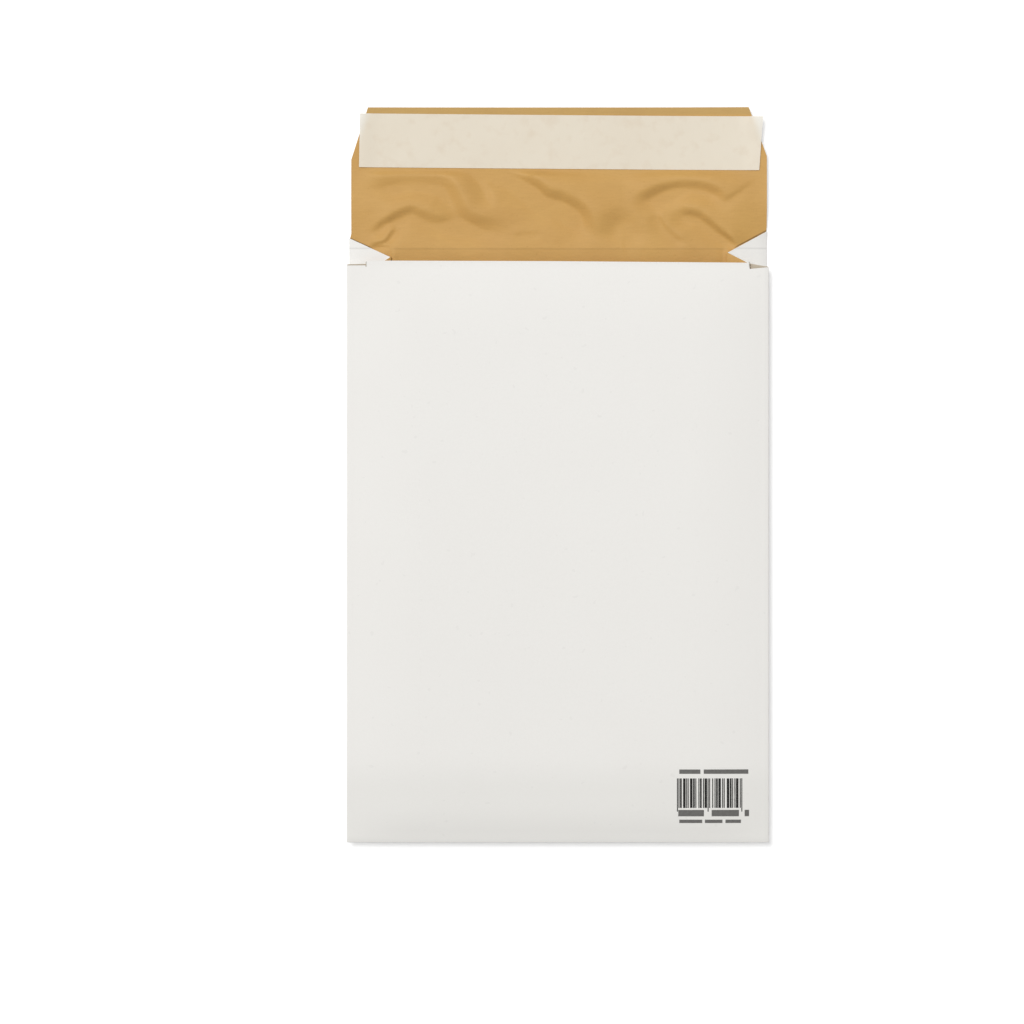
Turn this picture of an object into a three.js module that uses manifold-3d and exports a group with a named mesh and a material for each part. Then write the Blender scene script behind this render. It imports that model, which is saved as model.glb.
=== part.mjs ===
// Padded pocket envelope with V-folded gussets, lying on its front face with the flap open.
// A white outer sheet and a kraft lining are folded together around two pads, and the
// flap carries a peel-and-seal strip under its release liner.
// Millimetres, +Z up. X runs across the pocket, and Y runs along it from the flap crease
// at Y = 0 towards the flap; the last group centres the whole on the origin.

import * as THREE from "three";
import { mergeVertices } from "three/addons/utils/BufferGeometryUtils.js";
import Module from "manifold-3d";

const wasm = await Module();
wasm.setup();

// Pocket
const bodyWidth = 250.5; // back panel, side fold to side fold
const bodyLength = 353; // bottom fold to flap crease
const edgeHeight = 8; // floor to the back panel at its folds
const frontInset = 1.2; // the front panel's folds lie this far inside the back panel's
const foldRadius = 0.5; // outside of the folds at the panels' edges
const creaseRadius = 0.1; // outside of the gusset's central crease
const gussetDepth = 25; // side edge to central crease

// Mouth, as heights along Y from the flap crease
const mouthY = -8; // upper edge of the back panel
const notchWidth = 11.4; // step in the back panel's corner, from the side fold
const notchDepth = 3.2;
const gussetFrontY = 8; // where the gusset's cut edge meets the front panel's fold
const gussetCreaseY = -4; // and its central crease
const gussetBackY = -10.4; // and the back panel's fold

// Flap
const flapLength = 83.4;
const flapInset = 1.05; // front panel's fold in to the flap's side
const flapEase = 3; // run along Y over which the flap's side comes in
const chamferWidth = 10.2; // flap's side in to its top corner
const chamferLength = 29.7; // along Y

// Plies and pads
const outerPly = 0.2;
const liningPly = 0.15;
const plyGap = 0.05; // clearance between neighbouring plies
const frontPadThickness = 2;
const backPadCrown = 2.5;
const backPadRun = 43; // length over which the back panel rises to its crown
const padInset = 10; // panel's edge to the pad's edge
const flatBorder = 2.5; // panel's edge to where its slope starts

// Closure strip on the flap
const sealInset = 2.8; // flap's top corner in to the end of the adhesive
const sealWidth = 25;
const sealThickness = 0.15;
const linerOverhang = 6.35; // flap's top corner out to the end of the liner
const linerDrop = 4.1; // flap's top edge down to the liner's
const linerWidth = 32;
const linerThickness = 0.08;
const linerShift = 1.25; // sideways, and
const linerTurn = -0.47; // in degrees, as the strip was laid on

// Faceting
const foldSteps = 4; // facets in each rounded fold
const slopeSteps = 7; // facets up each panel's slope
const reach = 20; // how far cutting prisms run past what they cut
const sliver = 0.004; // facets thinner than this are closed up after joining and cutting

const halfWidth = bodyWidth / 2;
const liningDepth = outerPly + plyGap; // outside of the sheet to the lining
const plyStack = liningDepth + liningPly; // outside of the sheet to inside of the lining
const creaseHeight = edgeHeight / 2;
const frontHalfWidth = halfWidth - frontInset - foldRadius; // flat part of the front panel
const backHalfWidth = halfWidth - foldRadius; // flat part of the back panel
const flapHalfWidth = halfWidth - frontInset - flapInset;
const flapTopHalfWidth = flapHalfWidth - chamferWidth;
const foldTab = flatBorder - frontInset - foldRadius; // strip of gusset laid in each panel

// Solids and meshes

// Coordinates are rounded so that faces meant to share a plane do so exactly.
function solid(geometry) {
  const bare = geometry.clone();
  bare.deleteAttribute("normal");
  bare.deleteAttribute("uv");
  bare.attributes.position.array.forEach((value, i, array) => {
    array[i] = Math.round(value * 1e4) / 1e4;
  });
  const merged = mergeVertices(bare, 1e-4);
  const mesh = new wasm.Mesh({
    numProp: 3,
    vertProperties: merged.attributes.position.array,
    triVerts: new Uint32Array(merged.index.array),
  });
  return new wasm.Manifold(mesh);
}

function toMesh(name, body, material) {
  const { vertProperties, triVerts } = body.asOriginal().simplify(sliver).getMesh();
  const geometry = new THREE.BufferGeometry();
  geometry.setAttribute("position", new THREE.BufferAttribute(vertProperties, 3));
  geometry.setIndex(new THREE.BufferAttribute(triVerts, 1));
  const flat = geometry.toNonIndexed();
  flat.computeVertexNormals();
  const mesh = new THREE.Mesh(flat, material);
  mesh.name = name;
  return mesh;
}

function prism(points, low, high) {
  const shape = new THREE.Shape(points.map(([x, y]) => new THREE.Vector2(x, y)));
  const settings = { depth: high - low, bevelEnabled: false };
  return solid(new THREE.ExtrudeGeometry(shape, settings).translate(0, 0, low));
}

// A box whose grid points are moved to the given stations and heights.
function heightSheet(xs, ys, lowAt, highAt) {
  const columns = xs.length - 1;
  const rows = ys.length - 1;
  const geometry = new THREE.BoxGeometry(columns, rows, 1, columns, rows, 1);
  const position = geometry.attributes.position;
  for (let i = 0; i < position.count; i++) {
    const x = xs[Math.round(position.getX(i) + columns / 2)];
    const y = ys[Math.round(position.getY(i) + rows / 2)];
    const surface = position.getZ(i) < 0 ? lowAt : highAt;
    position.setXYZ(i, x, y, surface(x, y));
  }
  return solid(geometry);
}

// Slopes of the panels

const smooth = (t) => t * t * (3 - 2 * t);
const easeOut = (t) => t * (2 - t);
const clamped = (t) => THREE.MathUtils.clamp(t, 0, 1);

// Rise from 0 to 1 with the distance from every edge of a panel that ends at topY.
function rise(curve, run, topY) {
  const along = (distance) => curve(clamped((distance - flatBorder) / run));
  return (x, y) =>
    along(halfWidth - Math.abs(x)) * along(y + bodyLength) * along(topY - y);
}

// Stations from low to high, closest together up the slopes next to both ends. Sheets and
// pads share them, so that their facets lie parallel.
function stations(low, high, lowInset, highInset, run) {
  const slope = [flatBorder];
  for (let i = 0; i <= slopeSteps; i++) {
    slope.push(THREE.MathUtils.lerp(padInset, flatBorder + run, i / slopeSteps));
  }
  const within = (inset) => [inset, ...slope.filter((distance) => distance > inset)];
  const fromLow = within(lowInset).map((distance) => low + distance);
  const fromHigh = within(highInset).map((distance) => high - distance);
  return [...fromLow, ...fromHigh.reverse()];
}

// Gusset

// The slant, against the floor, of a half that runs between a panel's fold and the
// central crease, tangent to both.
function slantTo(foldX, climb) {
  const across = gussetDepth - creaseRadius - foldX;
  const tangent = (foldRadius + creaseRadius) / Math.hypot(across, climb);
  return Math.atan2(climb, across) - Math.asin(tangent);
}

const frontFoldX = frontInset + foldRadius;
const frontSlant = slantTo(frontFoldX, creaseHeight - foldRadius);
const backSlant = slantTo(foldRadius, edgeHeight - foldRadius - creaseHeight);

function arc(centreX, centreZ, radius, from, to) {
  const points = [];
  for (let i = 0; i <= foldSteps; i++) {
    const angle = from + ((to - from) * i) / foldSteps;
    points.push([centreX + radius * Math.cos(angle), centreZ + radius * Math.sin(angle)]);
  }
  return points;
}

// Section through front fold, gusset and back fold at one depth inside the outer face,
// as distances from the side edge and heights.
function gussetLine(depth) {
  const quarter = Math.PI / 2;
  const fold = foldRadius - depth;
  const crease = creaseRadius + depth;
  const creaseX = gussetDepth - creaseRadius;
  const backFoldZ = edgeHeight - foldRadius;
  return [
    [frontFoldX + foldTab, depth],
    ...arc(frontFoldX, foldRadius, fold, -quarter, -3 * quarter + frontSlant),
    ...arc(creaseX, creaseHeight, crease, frontSlant - quarter, 0),
    ...arc(creaseX, creaseHeight, crease, 0, quarter - backSlant).slice(1),
    ...arc(foldRadius, backFoldZ, fold, -quarter - backSlant, -3 * quarter),
    [foldRadius + foldTab, edgeHeight - depth],
  ];
}

// One ply of the gusset, down one side, across the bottom with mitred corners and up
// the other side.
function gussetStrip(outerDepth, innerDepth) {
  const outer = gussetLine(outerDepth);
  const inner = gussetLine(innerDepth);
  const section = [...outer, ...inner.slice().reverse()];
  const topY = gussetFrontY + reach;
  const places = [
    (n) => [halfWidth - n, topY],
    (n) => [halfWidth - n, n - bodyLength],
    (n) => [n - halfWidth, n - bodyLength],
    (n) => [n - halfWidth, topY],
  ];
  const positions = places.flatMap((place) => section.flatMap(([n, z]) => [...place(n), z]));
  const count = section.length;
  const index = [];
  for (let ring = 0; ring < places.length - 1; ring++) {
    for (let i = 0; i < count; i++) {
      const a = ring * count + i;
      const b = ring * count + ((i + 1) % count);
      index.push(a, b, b + count, a, b + count, a + count);
    }
  }
  const last = (places.length - 1) * count;
  for (let i = 0; i < outer.length - 1; i++) {
    const across = count - 1 - i;
    index.push(i, across, across - 1, i, across - 1, i + 1);
    index.push(last + i, last + across - 1, last + across);
    index.push(last + i, last + i + 1, last + across - 1);
  }
  const geometry = new THREE.BufferGeometry();
  geometry.setAttribute("position", new THREE.Float32BufferAttribute(positions, 3));
  geometry.setIndex(index);
  const strip = solid(geometry);
  return strip.subtract(mouthCuts(1)).subtract(mouthCuts(-1));
}

// Cuts that slant the gusset's upper edge, below and above the central crease.
function mouthCuts(side) {
  const slanted = (edgeInset, edgeY, low, high) => {
    const slope = (edgeY - gussetCreaseY) / (gussetDepth - edgeInset);
    const outside = side * (halfWidth + foldRadius);
    const inside = side * (halfWidth - gussetDepth - 2 * foldRadius);
    const cutY = (x) => edgeY - slope * (halfWidth - edgeInset - Math.abs(x));
    const topY = gussetFrontY + 2 * reach;
    const outline = [
      [outside, cutY(outside)],
      [inside, cutY(inside)],
      [inside, topY],
      [outside, topY],
    ];
    return prism(outline, low, high);
  };
  const belowCrease = slanted(frontInset, gussetFrontY, -reach, creaseHeight);
  const aboveCrease = slanted(0, gussetBackY, creaseHeight, edgeHeight + reach);
  return belowCrease.add(aboveCrease);
}

// Step cut from the back panel's upper corner.
function notch(side) {
  const outside = side * (halfWidth + reach);
  const inside = side * (halfWidth - notchWidth);
  const low = mouthY - notchDepth;
  const high = mouthY + reach;
  const outline = [
    [outside, low],
    [inside, low],
    [inside, high],
    [outside, high],
  ];
  return prism(outline, edgeHeight - foldRadius, edgeHeight + reach);
}

// Panels

// Outline of the front panel and flap from lowY up, inside the folds.
function frontOutline(lowY) {
  const rightSide = [
    [frontHalfWidth, lowY],
    [frontHalfWidth, gussetFrontY],
    [flapHalfWidth, gussetFrontY + flapEase],
    [flapHalfWidth, flapLength - chamferLength],
    [flapTopHalfWidth, flapLength],
  ];
  return [...rightSide, ...rightSide.map(([x, y]) => [-x, y]).reverse()];
}

// The front lining climbs onto its pad no faster than the gusset above it.
const steepestSmooth = 1.125; // of smooth(t) / t
const frontPadRun = (steepestSmooth * frontPadThickness) / Math.tan(frontSlant);
const frontRise = rise(smooth, frontPadRun, 0);
const backRise = rise(easeOut, backPadRun, mouthY);

function outerSheet() {
  const front = prism(frontOutline(frontFoldX - bodyLength), 0, outerPly);
  const back = heightSheet(
    stations(-halfWidth, halfWidth, foldRadius, foldRadius, backPadRun),
    stations(-bodyLength, mouthY, foldRadius, 0, backPadRun),
    (x, y) => edgeHeight - outerPly + backPadCrown * backRise(x, y),
    (x, y) => edgeHeight + backPadCrown * backRise(x, y),
  );
  const folded = front.add(back).add(gussetStrip(0, outerPly));
  return folded.subtract(notch(1)).subtract(notch(-1));
}

function kraftLining() {
  const flap = prism(frontOutline(-flatBorder), liningDepth, plyStack);
  const front = heightSheet(
    stations(-halfWidth, halfWidth, frontFoldX, frontFoldX, frontPadRun),
    stations(-bodyLength, 0, frontFoldX, 0, frontPadRun),
    (x, y) => liningDepth + frontPadThickness * frontRise(x, y),
    (x, y) => plyStack + frontPadThickness * frontRise(x, y),
  );
  const back = prism(
    [
      [-backHalfWidth, foldRadius - bodyLength],
      [backHalfWidth, foldRadius - bodyLength],
      [backHalfWidth, mouthY],
      [-backHalfWidth, mouthY],
    ],
    edgeHeight - plyStack,
    edgeHeight - liningDepth,
  );
  const strip = gussetStrip(liningDepth, plyStack);
  const folded = flap.add(front).add(back).add(strip);
  return folded.subtract(notch(1)).subtract(notch(-1));
}

function frontPadding() {
  return heightSheet(
    stations(-halfWidth, halfWidth, padInset, padInset, frontPadRun),
    stations(-bodyLength, 0, padInset, padInset, frontPadRun),
    () => outerPly + plyGap,
    (x, y) => outerPly + frontPadThickness * frontRise(x, y),
  );
}

function backPadding() {
  return heightSheet(
    stations(-halfWidth, halfWidth, padInset, padInset, backPadRun),
    stations(-bodyLength, mouthY, padInset, padInset, backPadRun),
    () => edgeHeight - outerPly,
    (x, y) => edgeHeight - outerPly - plyGap + backPadCrown * backRise(x, y),
  );
}

// Materials

function paper(color, roughness) {
  return new THREE.MeshStandardMaterial({ color, roughness, metalness: 0 });
}

const whitePaper = paper(0xebe9e5, 0.85);
const kraftPaper = paper(0xc89e60, 0.8);
const fibrePadding = paper(0xd2bd95, 0.95);
const sealGum = paper(0xe9dfc6, 0.35);
const glassine = paper(0xe5dbc9, 0.45);

// Closure strip

const closure = new THREE.Group();
closure.position.set(linerShift, flapLength - linerDrop - linerWidth / 2, plyStack + plyGap);
closure.rotation.z = THREE.MathUtils.degToRad(linerTurn);

function flatStrip(name, length, width, thickness, material) {
  const mesh = new THREE.Mesh(new THREE.BoxGeometry(length, width, thickness), material);
  mesh.name = name;
  return mesh;
}

const sealLength = 2 * (flapTopHalfWidth - sealInset);
const seal = flatStrip("seal_adhesive", sealLength, sealWidth, sealThickness, sealGum);
seal.position.z = sealThickness / 2;

const linerLength = 2 * (flapTopHalfWidth + linerOverhang);
const liner = flatStrip("release_liner", linerLength, linerWidth, linerThickness, glassine);
liner.position.z = sealThickness + plyGap + linerThickness / 2;
closure.add(seal, liner);

const envelope = new THREE.Group();
envelope.name = "padded_gusset_envelope";
envelope.position.y = (bodyLength - flapLength) / 2;
envelope.add(
  toMesh("outer_sheet", outerSheet(), whitePaper),
  toMesh("kraft_lining", kraftLining(), kraftPaper),
  toMesh("front_padding", frontPadding(), fibrePadding),
  toMesh("back_padding", backPadding(), fibrePadding),
  closure,
);

export default envelope;
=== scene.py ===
"""Looks of a padded gusset envelope that lies on its front face with the flap open.

Shapes are worked out in millimetres, with Y counted from the flap's crease, and placed in
the frame in metres by settle(), which also gives the paper its small irregularities.
"""

import math
from typing import NamedTuple

import bmesh
import bpy
import numpy as np
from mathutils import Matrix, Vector, noise

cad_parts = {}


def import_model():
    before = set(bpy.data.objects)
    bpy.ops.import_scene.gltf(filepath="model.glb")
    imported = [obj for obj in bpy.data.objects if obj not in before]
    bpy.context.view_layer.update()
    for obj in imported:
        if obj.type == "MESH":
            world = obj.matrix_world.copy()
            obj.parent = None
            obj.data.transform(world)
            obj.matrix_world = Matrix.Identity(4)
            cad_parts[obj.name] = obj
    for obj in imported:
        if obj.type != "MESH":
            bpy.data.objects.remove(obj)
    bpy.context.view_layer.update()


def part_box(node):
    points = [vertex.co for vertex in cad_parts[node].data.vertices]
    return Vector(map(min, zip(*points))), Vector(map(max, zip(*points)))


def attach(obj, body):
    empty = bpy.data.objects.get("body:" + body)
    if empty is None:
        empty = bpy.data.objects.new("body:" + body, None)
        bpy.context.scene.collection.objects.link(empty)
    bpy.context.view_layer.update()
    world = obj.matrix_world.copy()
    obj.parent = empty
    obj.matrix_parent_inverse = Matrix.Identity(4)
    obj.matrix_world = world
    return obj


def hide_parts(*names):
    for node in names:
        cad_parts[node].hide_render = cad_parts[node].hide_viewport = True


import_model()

MM = 0.001
RIGHT, LEFT = 1, -1

# Sizes of the frame
sheet_low, sheet_high = (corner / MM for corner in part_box("outer_sheet"))
HALF_WIDTH = sheet_high.x
FLAP_LENGTH = 83.4
CREASE_Y = sheet_high.y - FLAP_LENGTH
BOTTOM_Y = sheet_low.y - CREASE_Y
EDGE_HEIGHT = 8.0
CROWN = sheet_high.z - EDGE_HEIGHT

# Folds and gussets. N is the distance in from the side's or the bottom's edge.
FRONT_INSET = 1.2
FOLD_RADIUS = 0.5
CREASE_RADIUS = 0.1
GUSSET_DEPTH = 25.0
FRONT_FOLD_N = FRONT_INSET + FOLD_RADIUS

# Plies: depths of each one's two faces below the sheet's outside
OUTER_DEPTH = (0.0, 0.2)
LINING_DEPTH = (0.25, 0.4)
PLY_GAP = 0.05
FLAT_BORDER = 2.5
PAD_INSET = 10.0

# Rise of the panels over their padding. The runs are those of the sides, bottom and top.
FRONT_PAD = 2.0
FRONT_PAD_TOP = -4.0
FRONT_RUNS = (18.0, 18.0, 18.0)
BACK_RUNS = (43.0, 19.0, 43.0)

# Cut edges of each side at the mouth: heights of the gusset's edge at the front fold, the
# central crease, a knee part of the way back and the back fold, and of the notch beside it
MOUTH = {
    LEFT: {"front": 5.9, "crease": -5.3, "knee": (21.0, -9.2), "back": -9.7, "notch": -10.4},
    RIGHT: {"front": 10.0, "crease": -2.6, "knee": (12.0, -9.3), "back": -11.1, "notch": -11.5},
}

# Notch cut from each upper corner of the back panel, and the height of its inner corner
NOTCH_WIDTH = 11.4
NOTCH_FLOOR = {LEFT: -10.4, RIGHT: -12.5}

# Height of the mouth's edge at the left, in the middle and at the right
MOUTH_EDGE = {LEFT: -7.5, 0: -7.9, RIGHT: -8.9}

# How much further in each gusset's central crease lies at its top
CREASE_SHIFT = {LEFT: 0.8, RIGHT: -0.6}

# Flap outline of each side: half-width, start of the chamfer and half-width at the top
FLAP = {
    LEFT: {"half": 122.8, "chamfer": 52.8, "top": 112.9},
    RIGHT: {"half": 123.8, "chamfer": 54.7, "top": 113.2},
}
FLAP_EASE = 3.0
FLAP_TOP = FLAP_LENGTH + 0.5

# How far the open flap lifts, all over and more towards each side
FLAP_LIFT = 0.8
FLAP_EDGE_LIFT = {LEFT: 1.0, RIGHT: 3.6}
FLAP_LIFT_RUN = 30.0
FLAP_SWAY, FLAP_SWAY_SIZE = 0.15, 70.0


def smooth(t):
    t = np.clip(t, 0.0, 1.0)
    return t * t * (3.0 - 2.0 * t)


def ease_out(t):
    t = np.clip(t, 0.0, 1.0)
    return t * (2.0 - t)


def waves(x, y, size, seed):
    """Smooth noise from about -1 to 1, with hills about that many millimetres apart."""
    flat_x, flat_y = np.ravel(x) / size, np.ravel(y) / size
    values = [noise.noise(Vector((a, b, seed))) for a, b in zip(flat_x, flat_y)]
    return np.array(values).reshape(np.shape(x))


# Panels' heights


def rise(curve, runs, x, y, top):
    """From 0 at a panel's edges to 1 over its middle."""
    along = [HALF_WIDTH - np.abs(x), y - BOTTOM_Y, top - y]
    shares = [curve((distance - FLAT_BORDER) / run) for distance, run in zip(along, runs)]
    return np.prod(shares, axis=0)


def back_height(x, y):
    return EDGE_HEIGHT + CROWN * rise(ease_out, BACK_RUNS, x, y, top=MOUTH_EDGE[0])


def front_lift(x, y):
    return FRONT_PAD * rise(smooth, FRONT_RUNS, x, y, top=FRONT_PAD_TOP)


def flap_lift(x, y):
    """The open flap doesn't lie quite flat: it rises from its crease, most at the right."""
    outwards = np.clip(np.abs(x) / HALF_WIDTH, 0.0, 1.0) ** 3
    edge = np.where(x > 0.0, FLAP_EDGE_LIFT[RIGHT], FLAP_EDGE_LIFT[LEFT])
    sway = FLAP_SWAY * waves(x, y, FLAP_SWAY_SIZE, seed=4.0)
    return smooth(y / FLAP_LIFT_RUN) * (FLAP_LIFT + edge * outwards + sway)


# Wrinkles of the lining

# Size of a pixel of the photograph, and the pixels of the sheet's middle and its crease
PIXEL = 0.5936
BODY_X = 557.75
CREASE_PIXEL = 248.0


class Wrinkle(NamedTuple):
    """A slope along a line of pixels, high on the left of the line's direction."""

    height: float
    start_slope: float  # width of the slope at the line's start
    end_slope: float
    fading: float  # how far it fades beyond the slope
    pixels: list


WRINKLES = {
    "upper left, round and away to the middle": Wrinkle(
        height=4.0, start_slope=12.0, end_slope=10.0, fading=9.0,
        pixels=[
            (346, 183), (375, 181), (404, 178), (428, 178), (445, 181),
            (455, 196), (463, 212), (476, 221), (504, 226), (520, 228),
        ],
    ),
    "at the left edge": Wrinkle(
        height=1.3, start_slope=10.0, end_slope=10.0, fading=8.0,
        pixels=[(346, 226), (360, 214), (378, 206), (392, 206)],
    ),
    "lower left": Wrinkle(
        height=2.8, start_slope=4.0, end_slope=9.0, fading=8.0,
        pixels=[
            (364, 236), (373, 229), (385, 221), (398, 214), (411, 209),
            (421, 213), (435, 219), (452, 221), (466, 222),
        ],
    ),
    "middle, from the liner down to the crease": Wrinkle(
        height=5.0, start_slope=8.0, end_slope=11.0, fading=11.0,
        pixels=[
            (466, 160), (495, 169), (515, 174), (535, 183), (548, 194),
            (562, 198), (581, 209), (591, 226), (600, 243),
        ],
    ),
    "branch of the middle one": Wrinkle(
        height=1.5, start_slope=6.0, end_slope=6.0, fading=7.0,
        pixels=[(464, 160), (475, 172), (483, 183), (491, 197), (497, 208)],
    ),
    "swell right of the middle": Wrinkle(
        height=1.8, start_slope=12.0, end_slope=12.0, fading=8.0,
        pixels=[(600, 241), (606, 229), (613, 218), (626, 216), (640, 229), (652, 239)],
    ),
    "upper right arch": Wrinkle(
        height=3.6, start_slope=8.0, end_slope=7.0, fading=9.0,
        pixels=[
            (628, 203), (648, 194), (665, 187), (681, 184),
            (701, 185), (715, 190), (726, 198), (736, 204),
        ],
    ),
    "from the arch's end up to the right edge": Wrinkle(
        height=0.9, start_slope=2.5, end_slope=2.5, fading=4.0,
        pixels=[(720, 202), (738, 191), (758, 176), (764, 170)],
    ),
    "lower right, down to the gusset": Wrinkle(
        height=3.4, start_slope=8.0, end_slope=3.2, fading=7.0,
        pixels=[
            (672, 207), (684, 211), (698, 214), (708, 221), (718, 229), (731, 239), (744, 251),
        ],
    ),
    "faint one beside it": Wrinkle(
        height=1.3, start_slope=4.0, end_slope=4.0, fading=5.0,
        pixels=[(655, 210), (660, 218), (668, 229), (681, 239), (688, 244)],
    ),
    "short, above the left gusset": Wrinkle(
        height=1.9, start_slope=2.4, end_slope=3.0, fading=3.0,
        pixels=[(368, 244.5), (384, 241), (391, 233), (398, 226)],
    ),
    "short, along the left gusset's cut edge": Wrinkle(
        height=0.9, start_slope=1.6, end_slope=1.6, fading=2.0,
        pixels=[(366, 246.5), (380, 246), (394, 246)],
    ),
    "short, left of the middle": Wrinkle(
        height=0.5, start_slope=2.0, end_slope=2.0, fading=3.0,
        pixels=[(512, 233.5), (528, 232.5), (542, 232.5)],
    ),
    "left end of the lining's tuck": Wrinkle(
        height=0.8, start_slope=1.8, end_slope=1.8, fading=3.0,
        pixels=[(391, 249), (391, 267)],
    ),
    "right end of the lining's tuck": Wrinkle(
        height=0.9, start_slope=1.8, end_slope=1.8, fading=3.0,
        pixels=[(726, 247), (726, 268)],
    ),
}

# Shares of a wrinkle's length over which its start and its end fade
START_FADE = 0.2
END_FADE = 0.25

# Height of the loose lining, and of its waves with their size
LOOSE_HEIGHT = 1.5
LOOSE_SWELL, LOOSE_SWELL_SIZE = 0.4, 20.0
LOOSE_RIPPLE, LOOSE_RIPPLE_SIZE = 0.05, 6.0

# Where the lining lies flat, under the liner, in the pocket and at the sides, and the lengths
# over which it gets there
UNDER_LINER_Y = 46.5
LOOSE_TO_LINER = 9.0
WRINKLES_TO_LINER = 4.0
IN_POCKET_Y = -20.0
TO_POCKET = 12.0
SIDE_MARGIN = 3.0
TO_SIDES = 20.0

# Low ridge along the crease, and how far it runs out above and below
CREASE_RIDGE = 0.8
RIDGE_ABOVE = 16.0
RIDGE_BELOW = 9.0


def on_sheet(pixel):
    """A pixel of the photograph in millimetres from the crease's middle."""
    return np.array([(pixel[0] - BODY_X) * PIXEL, (CREASE_PIXEL - pixel[1]) * PIXEL])


def rounded(points, steps=6):
    """A smooth line through the points."""
    points = np.array([points[0], *points, points[-1]])
    line = []
    for a, b, c, d in zip(points, points[1:], points[2:], points[3:]):
        for t in np.arange(steps) / steps:
            line.append(
                0.5 * (2 * b + (c - a) * t + (2 * a - 5 * b + 4 * c - d) * t**2
                       + (3 * b - a - 3 * c + d) * t**3)
            )
    return np.array([*line, points[-1]])


def wrinkle_relief(x, y, wrinkle):
    """Heights of a wrinkle: a step across its line that fades on both sides and at its ends."""
    line = rounded([on_sheet(pixel) for pixel in wrinkle.pixels])
    spot = np.stack([x, y], axis=-1)
    steps = np.linalg.norm(np.diff(line, axis=0), axis=1)
    travelled = np.concatenate([[0.0], np.cumsum(steps)])
    nearest = np.full(x.shape, np.inf)
    signed = np.zeros(x.shape)
    share = np.zeros(x.shape)
    for start, end, step, before in zip(line, line[1:], steps, travelled):
        along = (end - start) / step
        offset = spot - start
        run = np.clip(offset @ along, 0.0, step)
        distance = np.linalg.norm(offset - run[..., None] * along, axis=-1)
        side = np.sign(along[0] * offset[..., 1] - along[1] * offset[..., 0])
        closer = distance < nearest
        nearest = np.where(closer, distance, nearest)
        signed = np.where(closer, side * distance, signed)
        share = np.where(closer, (before + run) / travelled[-1], share)
    ends = smooth(share / START_FADE) * smooth((1.0 - share) / END_FADE)
    slope = wrinkle.start_slope + (wrinkle.end_slope - wrinkle.start_slope) * share
    beyond = np.maximum(np.abs(signed) - slope / 2, 0.0) / wrinkle.fading
    return wrinkle.height * ends * (smooth(signed / slope + 0.5) - 0.5) * np.exp(-beyond**2)


def lining_relief(x, y):
    """Wrinkles on the flap, and the low ridge along its crease."""
    relief = sum(wrinkle_relief(x, y, wrinkle) for wrinkle in WRINKLES.values())
    relief = relief * smooth((UNDER_LINER_Y - y) / WRINKLES_TO_LINER)
    swell = LOOSE_SWELL * waves(x, y, LOOSE_SWELL_SIZE, seed=7.0)
    ripple = LOOSE_RIPPLE * waves(x, y, LOOSE_RIPPLE_SIZE, seed=8.0)
    loose = LOOSE_HEIGHT + swell + ripple
    loose = loose * smooth((UNDER_LINER_Y - y) / LOOSE_TO_LINER)
    relief = np.maximum(relief + loose, 0.0) * smooth((y - IN_POCKET_Y) / TO_POCKET)
    run = np.where(y > 0.0, RIDGE_ABOVE, RIDGE_BELOW)
    ridge = CREASE_RIDGE * np.clip(1.0 - np.abs(y) / run, 0.0, 1.0)
    inside = smooth((HALF_WIDTH - SIDE_MARGIN - np.abs(x)) / TO_SIDES)
    return (relief + ridge) * inside


# Gusset


def slant(fold_n, climb):
    """Slope of a half that runs between a panel's fold and the central crease."""
    across = GUSSET_DEPTH - CREASE_RADIUS - fold_n
    lean = (FOLD_RADIUS + CREASE_RADIUS) / math.hypot(across, climb)
    return math.atan2(climb, across) - math.asin(lean)


def arc(centre_n, centre_z, radius, start, stop, steps=4):
    angles = np.linspace(start, stop, steps + 1)
    return np.stack([centre_n + radius * np.cos(angles), centre_z + radius * np.sin(angles)], 1)


def between(start, stop, steps=3):
    """Points strictly between two others."""
    return [start + (stop - start) * i / (steps + 1) for i in range(1, steps + 1)]


def gusset_section(depth):
    """Points (distance from the side edge, height) from the front fold to the back one, and
    for each point which stretch it is on and how far along."""
    middle = EDGE_HEIGHT / 2
    quarter = math.pi / 2
    front_slant = slant(FRONT_FOLD_N, middle - FOLD_RADIUS)
    back_slant = slant(FOLD_RADIUS, EDGE_HEIGHT - FOLD_RADIUS - middle)
    fold = FOLD_RADIUS - depth
    front = arc(FRONT_FOLD_N, FOLD_RADIUS, fold, -quarter, front_slant - 3 * quarter)
    crease = arc(
        GUSSET_DEPTH - CREASE_RADIUS, middle, CREASE_RADIUS + depth,
        front_slant - quarter, quarter - back_slant,
    )
    back = arc(
        FOLD_RADIUS, EDGE_HEIGHT - FOLD_RADIUS, fold, -quarter - back_slant, -3 * quarter
    )
    front_half = between(front[-1], crease[0])
    back_half = between(crease[-1], back[0])
    points = np.array([*front, *front_half, *crease, *back_half, *back])
    counts = [len(part) for part in (front, front_half, crease, back_half, back)]
    stretch = np.repeat(np.arange(5), counts)
    share = np.concatenate([
        np.arange(count) / (count - 1) if kind in (0, 2, 4)
        else np.arange(1, count + 1) / (count + 1)
        for kind, count in enumerate(counts)
    ])
    return points, stretch, share


def gusset_tops(side, points, stretch, share):
    """Height of the gusset's cut edge at each point of its section."""
    cut = MOUTH[side]
    knee_n, knee_y = cut["knee"]
    back_half = np.interp(
        points[:, 0], [FOLD_RADIUS, knee_n, GUSSET_DEPTH], [cut["back"], knee_y, cut["crease"]]
    )
    return np.choose(stretch, [
        np.full(len(points), cut["front"]),
        cut["front"] + (cut["crease"] - cut["front"]) * share,
        np.full(len(points), cut["crease"]),
        back_half,
        cut["back"] + (cut["notch"] - cut["back"]) * share,
    ])


# Grids of the folded sheet

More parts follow.
